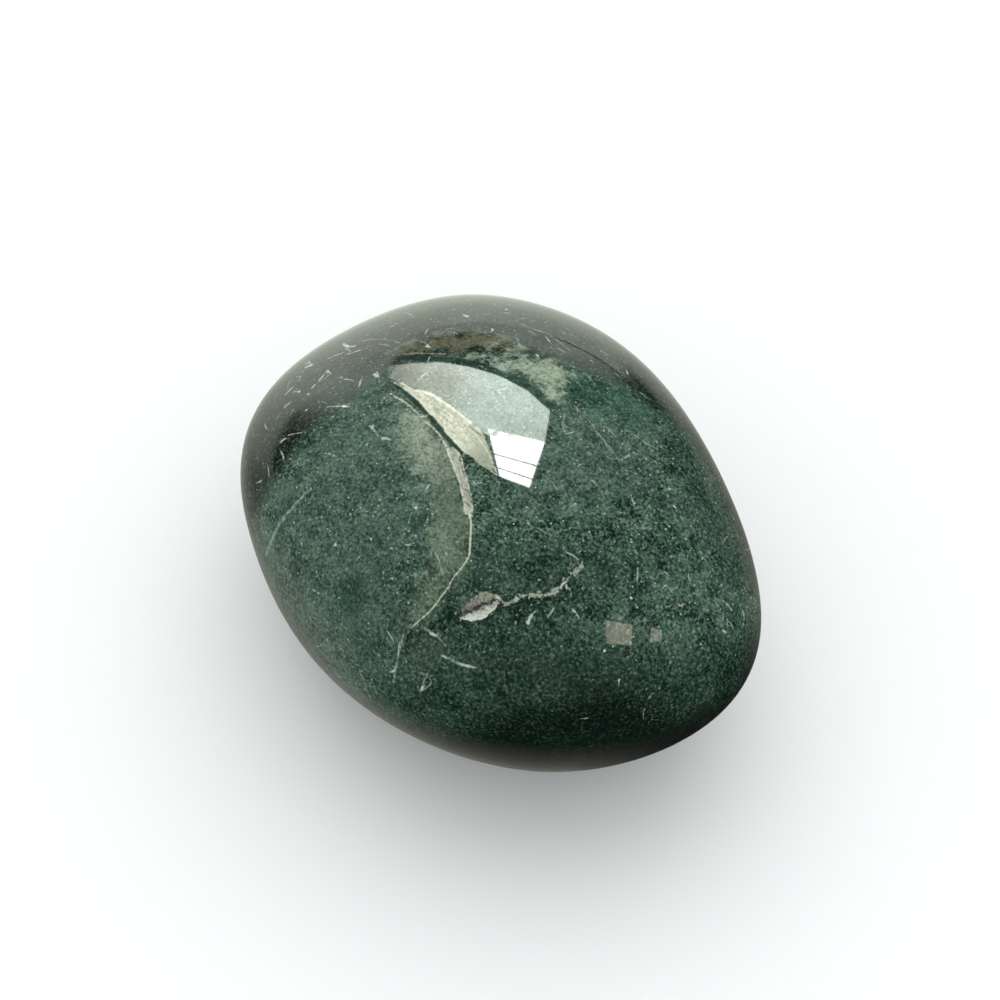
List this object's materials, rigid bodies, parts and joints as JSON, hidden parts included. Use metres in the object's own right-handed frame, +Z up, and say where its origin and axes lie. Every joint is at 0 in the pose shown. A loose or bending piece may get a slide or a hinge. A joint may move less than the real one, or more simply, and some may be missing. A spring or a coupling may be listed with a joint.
{
  "type": "moss agate tumbled stone",
  "caption": "Tumble-polished dark green moss agate pebble with softly worn faces, a small flat spot to rest on and a tiny open pit.",
  "frame": {"origin": "on the surface the stone rests on, under the middle of its bounding box", "axes": "+Z up out of the surface it rests on and across the stone's thin side, X along its long side, Y along its broad side"},
  "size_m": [0.0394, 0.0298, 0.0231],
  "materials": {
    "moss_agate": "tumbled to a wet-looking high polish; dark green with salt-and-pepper grains, paler clouds and hairline fractures"
  },
  "bodies": {
    "root": {"stone": "moss_agate"}
  },
  "joints": []
}
